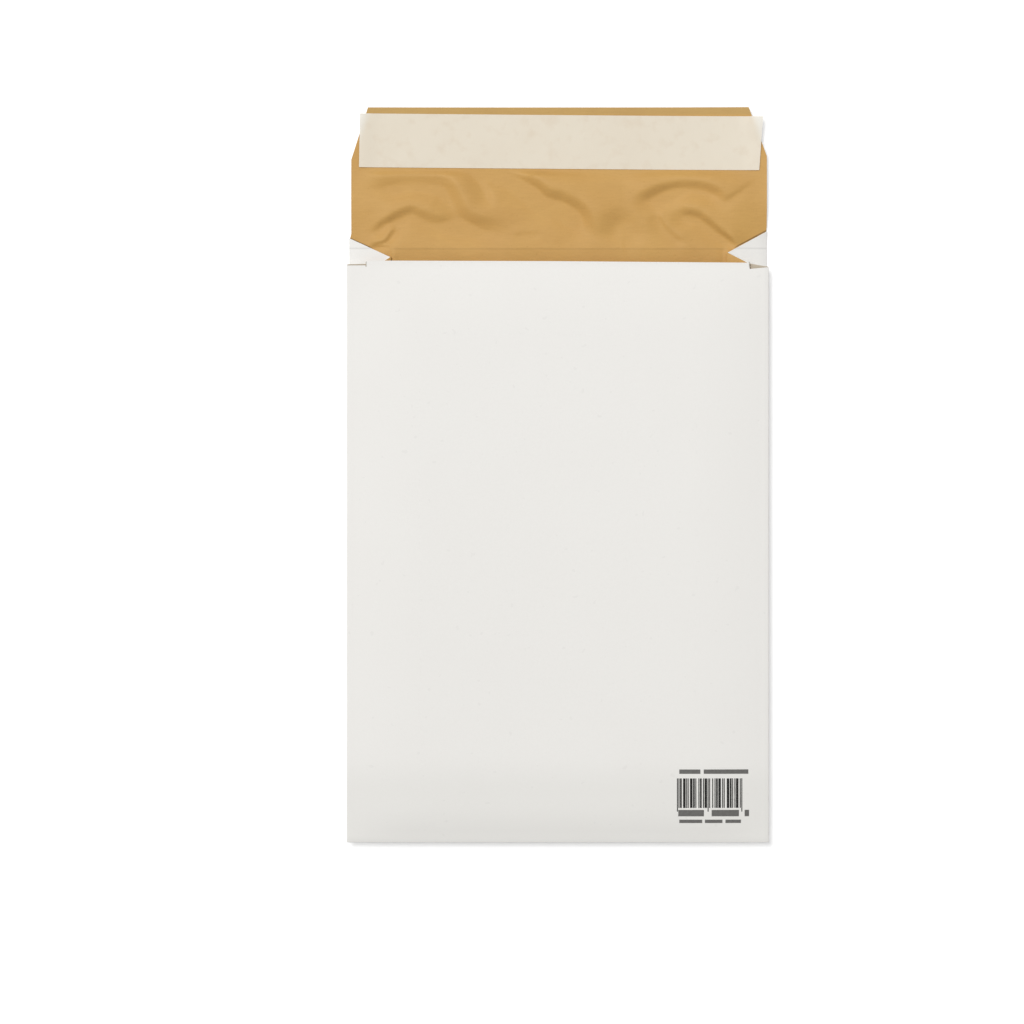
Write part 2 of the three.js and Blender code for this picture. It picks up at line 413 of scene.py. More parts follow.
CREASE_ZONE = 20.0  # rows lie closer together this far below the crease
FAN_ROWS = 8  # from the crease up to the gussets' front corners
MOUTH_STRIP_ROWS = 4
CORNER_CLEARANCE = 0.3  # columns nearer than this to a notch's corner, in steps, are left out


class Stations:
    """Lines along and across the sheet that its panels and gussets share."""

    def __init__(self, columns, panel_step, crease_step, flap_step):
        low = BOTTOM_Y + FRONT_FOLD_N
        wide = np.arange(low, -CREASE_ZONE, panel_step)
        narrow = np.arange(-CREASE_ZONE, -0.1 * crease_step, crease_step)
        self.below = np.concatenate([wide, narrow, [0.0]])
        self.fan = np.arange(1, FAN_ROWS + 1) / FAN_ROWS
        self.low = low
        notch = (HALF_WIDTH - NOTCH_WIDTH) / (2 * (HALF_WIDTH - FOLD_RADIUS))
        even = np.linspace(0.0, 1.0, columns)
        corners = [0.5 - notch, 0.5 + notch]
        clear = np.min(np.abs(even[:, None] - corners), axis=1) > CORNER_CLEARANCE / columns
        self.u = np.sort(np.concatenate([even[clear], corners]))
        self.notch_columns = [int(np.argmin(np.abs(self.u - c))) for c in corners]
        self.flap_step = flap_step

    def edge(self, side):
        """Heights of the front panel's rows at that side's fold."""
        return np.concatenate([self.below, self.fan * MOUTH[side]["front"]])

    def share(self, side):
        heights = self.edge(side)
        return (heights - self.low) / (heights[-1] - self.low)


def across(left, right, u):
    """Rows of values from left to right."""
    return left[:, None] + (right - left)[:, None] * u[None, :]


def front_panel(at, z_of):
    half = HALF_WIDTH - FRONT_FOLD_N
    y = across(at.edge(LEFT), at.edge(RIGHT), at.u)
    x = np.broadcast_to(half * (2 * at.u - 1), y.shape)
    return np.stack([x, y, z_of(x, y)], -1)


def flap_rows(at, side):
    """Half-width and height of each row of the flap at one side, from its base up."""
    facts = FLAP[side]
    base = MOUTH[side]["front"]
    knots = [
        (HALF_WIDTH - FRONT_FOLD_N, base),
        (facts["half"], base + FLAP_EASE),
        (facts["half"], facts["chamfer"]),
        (facts["top"], FLAP_TOP),
    ]
    straight = FLAP[LEFT]["chamfer"] - MOUTH[RIGHT]["front"]
    slanted = FLAP_TOP - FLAP[LEFT]["chamfer"]
    counts = [2, round(straight / at.flap_step), round(slanted / at.flap_step)]
    rows = [knots[0]]
    for start, stop, count in zip(knots, knots[1:], counts):
        for i in range(1, count + 1):
            rows.append(tuple(a + (b - a) * i / count for a, b in zip(start, stop)))
    return np.array(rows)


def flap(at, z_of):
    left, right = flap_rows(at, LEFT), flap_rows(at, RIGHT)
    x = across(-left[:, 0], right[:, 0], at.u)
    y = across(left[:, 1], right[:, 1], at.u)
    return np.stack([x, y, z_of(x, y)], -1)


def back_panel(at, z_of):
    half = HALF_WIDTH - FOLD_RADIUS
    x = half * (2 * at.u - 1)
    low = BOTTOM_Y + FOLD_RADIUS
    corner = HALF_WIDTH - NOTCH_WIDTH
    top = np.interp(
        x,
        [-half, -corner, corner, half],
        [MOUTH[LEFT]["notch"], NOTCH_FLOOR[LEFT], NOTCH_FLOOR[RIGHT], MOUTH[RIGHT]["notch"]],
    )
    share = across(at.share(LEFT), at.share(RIGHT), at.u)
    y = low + share * (top - low)
    x = np.broadcast_to(x, y.shape)
    return np.stack([x, y, z_of(x, y)], -1)


def mouth_strip(at, panel, z_of):
    """The back panel between its two notches, up to the mouth's edge."""
    first, last = at.notch_columns
    base = panel[-1, first : last + 1]
    edge = np.interp(
        base[:, 0], [-HALF_WIDTH, 0.0, HALF_WIDTH],
        [MOUTH_EDGE[LEFT], MOUTH_EDGE[0], MOUTH_EDGE[RIGHT]],
    )
    share = np.linspace(0.0, 1.0, MOUTH_STRIP_ROWS)[:, None]
    y = base[:, 1] + share * (edge - base[:, 1])
    x = np.broadcast_to(base[:, 0], y.shape)
    return np.stack([x, y, z_of(x, y)], -1)


def side_gusset(at, side, depth):
    points, stretch, share = gusset_section(depth)
    tops = gusset_tops(side, points, stretch, share)
    n, z = points[:, :1], points[:, 1:]
    s = at.share(side)[None, :]
    none, whole = np.zeros(len(share)), np.ones(len(share))
    towards_crease = np.choose(stretch, [none, share, whole, 1 - share, none])
    inset = n + CREASE_SHIFT[side] * towards_crease[:, None] * s**2
    low = BOTTOM_Y + n
    y = low + s * (tops[:, None] - low)
    x = side * (HALF_WIDTH - inset)
    return np.stack([x, y, np.broadcast_to(z, y.shape)], -1)


def bottom_gusset(at, depth):
    points = gusset_section(depth)[0]
    n, z = points[:, :1], points[:, 1:]
    x = (HALF_WIDTH - n) * (2 * at.u - 1)[None, :]
    y = np.broadcast_to(BOTTOM_Y + n, x.shape)
    return np.stack([x, y, np.broadcast_to(z, x.shape)], -1)


# Meshes

# Unevenness of the paper: how far its waves go up and down and, in the sway, sideways, and
# their size
SWELL, SWELL_SIZE = 0.06, 55.0
RIPPLE, RIPPLE_SIZE = 0.012, 14.0
SWAY, SWAY_SIZE = 0.12, 60.0

# At the right the lower face lies further out than the upper one: how far, from where on
# and over what length
LOWER_SHIFT = 0.45
LOWER_SHIFT_X = 100.0
LOWER_SHIFT_RUN = 20.0

JOIN_DISTANCE = 0.01  # points of two patches this close are one


def settle(points):
    """Places points of the smooth sheet in the frame, with the paper's irregularities."""
    points = np.array(points, float)
    x, y, z = points[..., 0].copy(), points[..., 1].copy(), points[..., 2].copy()
    upper = smooth((z - EDGE_HEIGHT / 2) / (EDGE_HEIGHT / 2))
    swell = SWELL * waves(x, y, SWELL_SIZE, seed=1.0)
    ripple = RIPPLE * waves(x, y, RIPPLE_SIZE, seed=2.0)
    z += upper * (swell + ripple)
    z += np.where(y > 0.0, flap_lift(x, y), 0.0)
    x += SWAY * waves(y, y * 0.0, SWAY_SIZE, seed=3.0) * x / HALF_WIDTH
    x += LOWER_SHIFT * (1.0 - upper) * smooth((x - LOWER_SHIFT_X) / LOWER_SHIFT_RUN)
    return np.stack([x, y + CREASE_Y, z], -1) * MM


def mesh_object(name, vertices, faces, sharp=35.0):
    mesh = bpy.data.meshes.new(name)
    mesh.from_pydata([tuple(v) for v in vertices], [], [tuple(f) for f in faces])
    work = bmesh.new()
    work.from_mesh(mesh)
    bmesh.ops.recalc_face_normals(work, faces=work.faces)
    work.to_mesh(mesh)
    work.free()
    mesh.shade_smooth()
    mesh.set_sharp_from_angle(angle=math.radians(sharp))
    piece = bpy.data.objects.new(name, mesh)
    bpy.context.scene.collection.objects.link(piece)
    return piece


def grid_faces(rows, columns, start=0):
    ids = start + np.arange(rows * columns).reshape(rows, columns)
    quads = np.stack([ids[:-1, :-1], ids[:-1, 1:], ids[1:, 1:], ids[1:, :-1]], -1)
    return quads.reshape(-1, 4)


def closed_ply(name, patches):
    """One closed sheet from patches, each a pair of grids: the points of the ply's outer
    side and of its inner side. Patches are joined where their outer points meet."""
    work = bmesh.new()
    layers = [work.verts.layers.float.new(axis) for axis in "xyz"]
    for outer, inner in patches:
        rows, columns = outer.shape[:2]
        made = []
        for a, b in zip(outer.reshape(-1, 3), inner.reshape(-1, 3)):
            vertex = work.verts.new(a)
            for layer, value in zip(layers, b):
                vertex[layer] = value
            made.append(vertex)
        for quad in grid_faces(rows, columns):
            work.faces.new([made[i] for i in quad])
    bmesh.ops.remove_doubles(work, verts=work.verts, dist=JOIN_DISTANCE)
    bmesh.ops.recalc_face_normals(work, faces=work.faces)
    work.verts.index_update()
    outer = np.array([v.co[:] for v in work.verts])
    inner = np.array([[v[layer] for layer in layers] for v in work.verts])
    faces = [[v.index for v in face.verts] for face in work.faces]
    count = len(outer)
    walls = []
    for edge in work.edges:
        if edge.is_boundary:
            a, b = (v.index for v in edge.verts)
            walls.append([a, b, b + count, a + count])
    work.free()
    faces += [[i + count for i in reversed(face)] for face in faces]
    vertices = np.concatenate([settle(outer), settle(inner)])
    return mesh_object(name, vertices, faces + walls)


def folded_patches(at, depths, front_z, flap_z, back_z):
    """The patches of one ply of the folded blank. Each height function takes x, y and depth."""

    def side_of(depth):
        front = front_panel(at, lambda x, y: front_z(x, y, depth))
        back = back_panel(at, lambda x, y: back_z(x, y, depth))
        return [
            front,
            flap(at, lambda x, y: flap_z(x, y, depth)),
            back,
            mouth_strip(at, back, lambda x, y: back_z(x, y, depth)),
            side_gusset(at, LEFT, depth),
            side_gusset(at, RIGHT, depth),
            bottom_gusset(at, depth),
        ]

    return list(zip(*(side_of(depth) for depth in depths)))


def outer_sheet():
    at = Stations(columns=100, panel_step=3.2, crease_step=2.0, flap_step=4.0)
    patches = folded_patches(
        at,
        OUTER_DEPTH,
        front_z=lambda x, y, depth: 0.0 * x + depth,
        flap_z=lambda x, y, depth: 0.0 * x + depth,
        back_z=lambda x, y, depth: back_height(x, y) - depth,
    )
    return closed_ply("white_outer_sheet", patches)


def kraft_lining():
    at = Stations(columns=250, panel_step=24.0, crease_step=1.3, flap_step=1.05)
    patches = folded_patches(
        at,
        LINING_DEPTH,
        front_z=lambda x, y, depth: depth + front_lift(x, y) + lining_relief(x, y),
        flap_z=lambda x, y, depth: depth + lining_relief(x, y),
        back_z=lambda x, y, depth: 0.0 * x + EDGE_HEIGHT - depth,
    )
    return closed_ply("kraft_lining_sheet", patches)


def closed_grid(low, high):
    """Vertices and faces of a closed slab between two grids of points."""
    rows, columns = low.shape[:2]
    count = rows * columns
    faces = [list(reversed(quad)) for quad in grid_faces(rows, columns)]
    faces += [list(quad) for quad in grid_faces(rows, columns, count)]
    ids = np.arange(count).reshape(rows, columns)
    for line in (ids[0], ids[-1][::-1], ids[:, 0][::-1], ids[:, -1]):
        for a, b in zip(line, line[1:]):
            faces.append([a, b, b + count, a + count])
    return np.concatenate([low.reshape(-1, 3), high.reshape(-1, 3)]), faces


def slab(name, xs, ys, low_of, high_of, place):
    """A closed slab between two height functions over a grid."""
    x, y = np.meshgrid(xs, ys)
    low = place(np.stack([x, y, low_of(x, y)], -1))
    high = place(np.stack([x, y, high_of(x, y)], -1))
    return mesh_object(name, *closed_grid(low, high))


# Pads

PAD_STEP = 2.6
EMBOSS = 0.12
QUILT_PITCH = 9.0
FRONT_PAD_GAP = 0.03  # between the front pad's crests and the lining


def quilt(x, y):
    """Embossed dimples of the padding paper."""
    return 0.5 + 0.5 * np.cos(2 * np.pi * x / QUILT_PITCH) * np.cos(2 * np.pi * y / QUILT_PITCH)


def front_pad_top(x, y):
    return LINING_DEPTH[0] - FRONT_PAD_GAP + front_lift(x, y) - EMBOSS * quilt(x, y)


def back_pad_top(x, y):
    return back_height(x, y) - OUTER_DEPTH[1] - PLY_GAP - EMBOSS * quilt(x, y)


def pads():
    x = np.arange(PAD_INSET - HALF_WIDTH, HALF_WIDTH - PAD_INSET + 0.1, PAD_STEP)
    front = slab(
        "front_pad", x, np.arange(BOTTOM_Y + PAD_INSET, -PAD_INSET, PAD_STEP),
        lambda x, y: 0.0 * x + OUTER_DEPTH[1] + PLY_GAP,
        front_pad_top,
        settle,
    )
    back = slab(
        "back_pad", x, np.arange(BOTTOM_Y + PAD_INSET, MOUTH_EDGE[0] - PAD_INSET, PAD_STEP),
        lambda x, y: 0.0 * x + EDGE_HEIGHT - OUTER_DEPTH[1],
        back_pad_top,
        settle,
    )
    return front, back


# Closure strip

STRIP_TURN = math.radians(-0.47)

# Columns along each strip and rows across it
GUM_GRID = (120, 9)
LINER_GRID = (160, 22)

GUM_WANDER = 0.5
LINER_RIPPLE = 0.05

# The liner's ends: where they start to lift, how far, and how askew they are cut
LINER_END = 12.0
LINER_END_LIFT = 0.4
LINER_SKEW = {LEFT: 0.3, RIGHT: 2.0}

# Its curled corner, at the top right
CURL_LENGTH = 14.0
CURL_LIFT = 1.2


def on_strip(node):
    """Length, width, middle and heights of a turned strip, from its box in the frame."""
    low, high = (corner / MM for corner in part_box(node))
    middle = (low + high) / 2
    cos, sin = math.cos(STRIP_TURN), abs(math.sin(STRIP_TURN))
    size = high - low
    length = (size.x * cos - size.y * sin) / (cos**2 - sin**2)
    width = (size.y * cos - size.x * sin) / (cos**2 - sin**2)
    return length, width, np.array([middle.x, middle.y - CREASE_Y]), low.z, high.z


def strip(name, node, grid, shape_of):
    """A strip on the flap, laid along its turn. shape_of moves its points in the strip's own
    plane and gives the extra height."""
    length, width, middle, low, high = on_strip(node)
    cos, sin = math.cos(STRIP_TURN), math.sin(STRIP_TURN)

    def place(points):
        along, aside, height = points[..., 0], points[..., 1], points[..., 2]
        along, aside, extra = shape_of(along, aside, length, width)
        x = middle[0] + along * cos - aside * sin
        y = middle[1] + along * sin + aside * cos
        return settle(np.stack([x, y, height + extra], -1))

    columns, rows = grid
    xs = np.linspace(-length / 2, length / 2, columns)
    ys = np.linspace(-width / 2, width / 2, rows)
    return slab(name, xs, ys, lambda x, y: 0.0 * x + low, lambda x, y: 0.0 * x + high, place)


def gum_shape(along, aside, length, width):
    """The coated band's edges wander a little."""
    edge = np.abs(aside) / (width / 2)
    wander = GUM_WANDER * waves(along, np.sign(aside) * 9.0, size=12.0, seed=5.0)
    return along, aside + edge**3 * wander, 0.0 * along


def liner_shape(along, aside, length, width):
    """The liner bags slightly, its ends are cut askew and lift, and one corner curls."""
    right = along > 0.0
    from_end = length / 2 - np.abs(along)
    free = smooth((LINER_END - from_end) / LINER_END)
    ripple = LINER_RIPPLE * waves(along, aside, size=30.0, seed=6.0) + LINER_RIPPLE
    corner = smooth((CURL_LENGTH - from_end) / CURL_LENGTH) * smooth(2.0 * aside / width) * right
    skew = np.where(right, LINER_SKEW[RIGHT], LINER_SKEW[LEFT]) * aside / width
    lift = ripple + LINER_END_LIFT * free + CURL_LIFT * corner
    return along + free * skew, aside, lift


# Print

# Block of bars: its right end, its foot and top, and how much lower the guards reach
PRINT_RIGHT = 109.4
BAR_LOW, BAR_HIGH = -332.3, -314.8
GUARD_DROP = 2.2

# Widths of the bars and of the spaces between them, from the right, in modules
MODULE = 0.455
BAR_WIDTHS = (1, 1, 3, 1, 1, 2, 3, 1, 1, 3, 2, 1, 1, 1, 1, 3, 1, 2, 1, 1, 2, 3, 1, 1, 3, 2, 1, 1)
BAR_SPACES = (1, 2, 1, 2, 1, 1, 3, 1, 2, 1, 1, 2, 3, 1, 1, 1, 2, 1, 3, 1, 1, 2, 1, 1, 2, 1, 1)

INK_SPREAD = 0.14
INK_LIFT = 0.03
INK_THICKNESS = 0.02
INK_STEP = 1.5

# Rows of plain marks: height of the row's foot, its height, and the marks' ends
MARK_ROWS = (
    (-312.1, 2.6, ((72.0, 84.5), (86.5, 113.0))),
    (-337.3, 3.8, ((71.4, 86.6), (91.2, 107.4), (110.8, 113.4))),
    (-341.3, 2.0, ((72.0, 85.6), (87.2, 97.6), (99.4, 108.6))),
)


def printed_box(x0, x1, y0, y1):
    """A thin patch of ink that follows the back panel."""
    columns = max(2, int((x1 - x0) / INK_STEP) + 2)
    rows = max(2, int((y1 - y0) / INK_STEP) + 2)
    x, y = np.meshgrid(np.linspace(x0, x1, columns), np.linspace(y0, y1, rows))
    foot = back_height(x, y) + INK_LIFT
    low = settle(np.stack([x, y, foot], -1))
    high = settle(np.stack([x, y, foot + INK_THICKNESS], -1))
    return closed_grid(low, high)


def patches_of_ink(name, boxes):
    vertices, faces = [], []
    for box in boxes:
        start = sum(len(part) for part in vertices)
        more, more_faces = printed_box(*box)
        vertices.append(more)
        faces += [[i + start for i in face] for face in more_faces]
    return mesh_object(name, np.concatenate(vertices), faces)


def printed_bars():
    """A plain block of bars. The first, middle and last reach lower."""
    boxes = []
    x = PRINT_RIGHT
    guards = (0, len(BAR_WIDTHS) // 2, len(BAR_WIDTHS) - 1)
    for i, (modules, space) in enumerate(zip(BAR_WIDTHS, (*BAR_SPACES, 0))):
        low = BAR_LOW - GUARD_DROP if i in guards else BAR_LOW
        boxes.append((x - modules * MODULE - INK_SPREAD, x, low, BAR_HIGH))
        x -= (modules + space) * MODULE
    return patches_of_ink("printed_bars", boxes)


def printed_rows():
    """Rows of plain marks over and under the bars."""
    boxes = [(*ends, foot, foot + height) for foot, height, marks in MARK_ROWS for ends in marks]
    return patches_of_ink("printed_rows", boxes)


# Materials

# Clouding of each material, from darker to lighter
WHITE_PAPER = ((0.858, 0.842, 0.809), (0.863, 0.848, 0.815))
KRAFT = ((0.556, 0.316, 0.092), (0.588, 0.343, 0.100))
GLASSINE = ((0.837, 0.753, 0.614), (0.847, 0.768, 0.631))
SEAL_GUM = ((0.70, 0.60, 0.42), (0.80, 0.72, 0.56))
PAD_FIBRE = ((0.52, 0.40, 0.24), (0.66, 0.54, 0.36))

# Colours laid over them in places, and factors that a place's colour is multiplied by
UNTOUCHED = (1.0, 1.0, 1.0)
# Painted shade, darker towards the bottom
PAINTED_FOOT_SHADE = (0.952, 0.954, 0.95)
# Painted shade along the crease
CREASE_SHADE = (0.88, 0.88, 0.88)
# Painted shadow at the notches' inner edges
NOTCH_GAP_SHADOW = (0.58, 0.55, 0.5)
# Painted shade just below the lining's crease
SCORE_SHADE = (0.9, 0.9, 0.9)
# Painted shade in the notches' corners, darker and greyer
NOTCH_CORNER_SHADE = (0.50, 0.43, 0.33)
# Painted shadow along the gussets' cut edges
GUSSET_EDGE_SHADOW = (0.42, 0.42, 0.45)
FLAP_RIM = (0.90, 0.97, 1.08)
# Painted light: the liner paler where the floor shows through
LINER_PAINTED_BACKLIGHT = (0.885, 0.848, 0.765)

# Lightness of the bars' ink and of the marks', and how it varies with its tint
BAR_INK = 0.015
MARK_INK = 0.145
INK_TINTS = ((0.9, 0.87, 0.82), (1.1, 1.08, 1.03))

# Painted shadow along each gusset's cut edge: slope and height of the line, its middle and half
# length
GUSSET_SHADE = {
    LEFT: (-0.457, -50.45, -117.5, 6.5),
    RIGHT: (0.535, -55.8, 115.5, 9.5),
}

# The flap's two chamfers, taken together: |x| + lean * y is the same all along their edges.
# The liner is painted paler past them, a little more at the left: painted light of the white
# floor showing through it.
CHAMFER_LEAN = sum(
    (side["half"] - side["top"]) / (FLAP_TOP - side["chamfer"]) for side in FLAP.values()
) / 2
CHAMFER_EDGE = sum(side["half"] + CHAMFER_LEAN * side["chamfer"] for side in FLAP.values()) / 2
OVERHANG_SHIFT = 1.4


class Shader:
    """A Principled material with short calls for its nodes."""

    def __init__(self, name, roughness, **sockets):
        self.material = bpy.data.materials.new(name)
        self.material.use_nodes = True
        self.nodes = self.material.node_tree.nodes
        self.links = self.material.node_tree.links
        self.surface = self.nodes["Principled BSDF"]
        self.surface.inputs["Roughness"].default_value = roughness
        for socket, value in sockets.items():
            self.surface.inputs[socket.replace("_", " ")].default_value = value
        self.place = self.nodes.new("ShaderNodeTexCoord").outputs["Object"]

    def noise(self, scale, stretch=(1.0, 1.0, 1.0), detail=3.0):
        mapping = self.nodes.new("ShaderNodeMapping")
        mapping.inputs["Scale"].default_value = stretch
        self.links.new(self.place, mapping.inputs["Vector"])
        texture = self.nodes.new("ShaderNodeTexNoise")
        texture.inputs["Scale"].default_value = scale
        texture.inputs["Detail"].default_value = detail
        self.links.new(mapping.outputs["Vector"], texture.inputs["Vector"])
        return texture.outputs["Fac"]

    def ramp(self, value, *stops):
        """Colours at places from 0 to 1."""
        ramp = self.nodes.new("ShaderNodeValToRGB")
        elements = ramp.color_ramp.elements
        while len(elements) < len(stops):
            elements.new(0.5)
        for element, (place, color) in zip(elements, stops):
            element.position = place
            element.color = (*color, 1.0)
        self.links.new(value, ramp.inputs["Fac"])
        return ramp.outputs["Color"]

    def multiply(self, first, second):
        mix = self.nodes.new("ShaderNodeMix")
        mix.data_type = "RGBA"
        mix.blend_type = "MULTIPLY"
        mix.inputs["Factor"].default_value = 1.0
        self.links.new(first, mix.inputs["A"])
        self.links.new(second, mix.inputs["B"])
        return mix.outputs["Result"]

    def math(self, operation, *values):
        node = self.nodes.new("ShaderNodeMath")
        node.operation = operation
        for socket, value in zip(node.inputs, values):
            if isinstance(value, (int, float)):
                socket.default_value = value
            else:
                self.links.new(value, socket)
        return node.outputs["Value"]

    def millimetres(self):
        """Places across the sheet and from its crease, in millimetres."""
        split = self.nodes.new("ShaderNodeSeparateXYZ")
        self.links.new(self.place, split.inputs["Vector"])
        across_sheet = self.math("DIVIDE", split.outputs["X"], MM)
        from_base = self.math("DIVIDE", split.outputs["Y"], MM)
        return across_sheet, self.math("SUBTRACT", from_base, CREASE_Y)

    def band(self, value, middle, half, soft=0.25):
        """1 within half of the middle and 0 beyond, over a soft edge."""
        offset = self.math("ABSOLUTE", self.math("SUBTRACT", value, middle))
        node = self.nodes.new("ShaderNodeMapRange")
        node.interpolation_type = "SMOOTHSTEP"
        self.links.new(offset, node.inputs["Value"])
        node.inputs["From Min"].default_value = half - soft
        node.inputs["From Max"].default_value = half + soft
        node.inputs["To Min"].default_value = 1.0
        node.inputs["To Max"].default_value = 0.0
        return node.outputs["Result"]

    def tint(self, base, mask, color, blend="MIX"):
        """The base with a plain colour laid over it, or multiplied in, where the mask is 1."""
        mix = self.nodes.new("ShaderNodeMix")
        mix.data_type = "RGBA"
        mix.blend_type = blend
        self.links.new(mask, mix.inputs["Factor"])
        self.links.new(base, mix.inputs["A"])
        mix.inputs["B"].default_value = (*color, 1.0)
        return mix.outputs["Result"]

    def color(self, socket):
        self.links.new(socket, self.surface.inputs["Base Color"])

    def bump(self, value, distance):
        bump = self.nodes.new("ShaderNodeBump")
        bump.inputs["Distance"].default_value = distance
        bump.inputs["Strength"].default_value = 1.0
        self.links.new(value, bump.inputs["Height"])
        self.links.new(bump.outputs["Normal"], self.surface.inputs["Normal"])


def white_paper():
    paper = Shader("white_paper", roughness=0.75, Specular_IOR_Level=0.3)
    cloud = paper.ramp(paper.noise(22.0), (0.35, WHITE_PAPER[0]), (0.65, WHITE_PAPER[1]))
    fibre = paper.ramp(paper.noise(900.0, detail=4.0), (0.3, (0.99,) * 3), (0.7, UNTOUCHED))
    speck = paper.ramp(paper.noise(240.0, detail=1.0), (0.235, (0.965,) * 3), (0.26, UNTOUCHED))
    color = paper.multiply(paper.multiply(cloud, fibre), speck)

    x, y = paper.millimetres()
    # Painted shade: the paper darker towards the bottom edge
    foot = paper.band(y, middle=BOTTOM_Y, half=42.0, soft=12.0)
    color = paper.tint(color, foot, PAINTED_FOOT_SHADE, "MULTIPLY")
    # Painted shade: a grey line along the crease
    crease = paper.band(y, middle=0.0, half=0.45, soft=0.4)
    color = paper.tint(color, crease, CREASE_SHADE, "MULTIPLY")
    # Painted shadow: a dark mark along each notch's inner edge, where the back panel overlaps the
    # gusset
    from_middle = paper.math("ABSOLUTE", x)
    beside_notch = paper.band(from_middle, middle=HALF_WIDTH - NOTCH_WIDTH, half=0.35)
    notch_gap_shadow = paper.math("MULTIPLY", beside_notch, paper.band(y, middle=-9.6, half=1.6))
    paper.color(paper.tint(color, notch_gap_shadow, NOTCH_GAP_SHADOW, "MULTIPLY"))

    grain = paper.math("ADD", paper.noise(1400.0, detail=2.0), paper.noise(260.0, detail=2.0))
    paper.bump(grain, distance=0.00006)
    return paper.material


def kraft_paper():
    kraft = Shader("kraft_paper", roughness=0.6, Specular_IOR_Level=0.35)
    cloud = kraft.ramp(kraft.noise(30.0), (0.3, KRAFT[0]), (0.7, KRAFT[1]))
    fibre = kraft.ramp(
        kraft.noise(160.0, stretch=(1.0, 7.0, 1.0), detail=5.0),
        (0.3, (0.97, 0.965, 0.95)), (0.7, (1.02, 1.02, 1.02)),
    )
    fleck = kraft.ramp(
        kraft.noise(520.0, stretch=(1.0, 2.2, 1.0), detail=2.0),
        (0.27, (0.93, 0.91, 0.87)), (0.35, UNTOUCHED),
    )
    color = kraft.multiply(kraft.multiply(cloud, fibre), fleck)

    x, y = kraft.millimetres()
    # Painted shade: a darker line just below the crease, across the middle
    across_middle = kraft.band(x, middle=0.0, half=99.0, soft=3.0)
    score_shade = kraft.math("MULTIPLY", kraft.band(y, middle=-0.3, half=0.5, soft=0.3), across_middle)
    color = kraft.tint(color, score_shade, SCORE_SHADE, "MULTIPLY")
    # Painted shade: a darker, greyer patch in each notch's corner, under the back panel's edge
    notch_corner_shade = kraft.band(kraft.math("ABSOLUTE", x), middle=HALF_WIDTH, half=NOTCH_WIDTH)
    notch_corner_shade = kraft.math("MULTIPLY", notch_corner_shade, kraft.band(y, middle=-11.0, half=2.4))
    color = kraft.tint(color, notch_corner_shade, NOTCH_CORNER_SHADE)
    # Painted shadow along each gusset's cut edge
    for slope, height, middle, half in GUSSET_SHADE.values():
        line = kraft.math("SUBTRACT", y, kraft.math("MULTIPLY", x, slope))
        beside = kraft.band(line, middle=height, half=0.4)
        shade = kraft.math("MULTIPLY", beside, kraft.band(x, middle, half, soft=2.0))
        color = kraft.tint(color, shade, GUSSET_EDGE_SHADOW, "MULTIPLY")
    rim = kraft.band(y, middle=FLAP_TOP, half=4.4, soft=0.8)
    kraft.color(kraft.tint(color, rim, FLAP_RIM, "MULTIPLY"))

    grain = kraft.math("ADD", kraft.noise(1100.0, detail=2.0), kraft.noise(90.0, (1.0, 3.0, 1.0)))
    kraft.bump(grain, distance=0.00012)
    return kraft.material


def glassine():
    liner = Shader("glassine", roughness=0.42, Alpha=0.84, Specular_IOR_Level=0.4)
    cloud = liner.ramp(liner.noise(38.0), (0.35, GLASSINE[0]), (0.65, GLASSINE[1]))
    spots = liner.ramp(
        liner.noise(150.0, detail=4.0), (0.52, UNTOUCHED), (0.72, (0.965, 0.945, 0.925))
    )
    x, y = liner.millimetres()
    # Painted light: the liner paler past the chamfers, as if the white floor showed through
    from_middle = liner.math("ABSOLUTE", liner.math("SUBTRACT", x, OVERHANG_SHIFT))
    across_chamfer = liner.math("ADD", from_middle, liner.math("MULTIPLY", y, CHAMFER_LEAN))
    past_edge = liner.band(across_chamfer, middle=CHAMFER_EDGE + 20.0, half=20.0, soft=3.0)
    liner.color(liner.tint(liner.multiply(cloud, spots), past_edge, LINER_PAINTED_BACKLIGHT))
    liner.bump(liner.noise(60.0), distance=0.0002)
    return liner.material


def seal_gum():
    gum = Shader("seal_gum", roughness=0.25)
    gum.color(gum.ramp(gum.noise(45.0), (0.35, SEAL_GUM[0]), (0.65, SEAL_GUM[1])))
    gum.bump(gum.noise(300.0), distance=0.0001)
    return gum.material


def pad_fibre():
    fibre = Shader("pad_fibre", roughness=0.95)
    cloud = fibre.noise(200.0, detail=5.0)
    fibre.color(fibre.ramp(cloud, (0.3, PAD_FIBRE[0]), (0.7, PAD_FIBRE[1])))
    fibre.bump(fibre.noise(500.0), distance=0.0003)
    return fibre.material


def ink(name, lightness):
    print_ink = Shader(name, roughness=0.6, Specular_IOR_Level=0.15)
    dark, light = (tuple(part * lightness for part in tint) for tint in INK_TINTS)
    print_ink.color(print_ink.ramp(print_ink.noise(700.0), (0.3, dark), (0.7, light)))
    return print_ink.material


# Pieces


def finish_piece(piece, material, nodes=()):
    piece.data.materials.append(material)
    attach(piece, "root")
    if nodes:
        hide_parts(*nodes)
    return piece


def build_envelope():
    finish_piece(outer_sheet(), white_paper(), ["outer_sheet"])
    finish_piece(kraft_lining(), kraft_paper(), ["kraft_lining"])
    fibre = pad_fibre()
    for piece, node in zip(pads(), ("front_padding", "back_padding")):
        finish_piece(piece, fibre, [node])
    gum = strip("seal_band", "seal_adhesive", GUM_GRID, gum_shape)
    finish_piece(gum, seal_gum(), ["seal_adhesive"])
    liner = strip("release_strip", "release_liner", LINER_GRID, liner_shape)
    finish_piece(liner, glassine(), ["release_liner"])
    finish_piece(printed_bars(), ink("print_ink", BAR_INK))
    finish_piece(printed_rows(), ink("pale_print_ink", MARK_INK))


# Studio

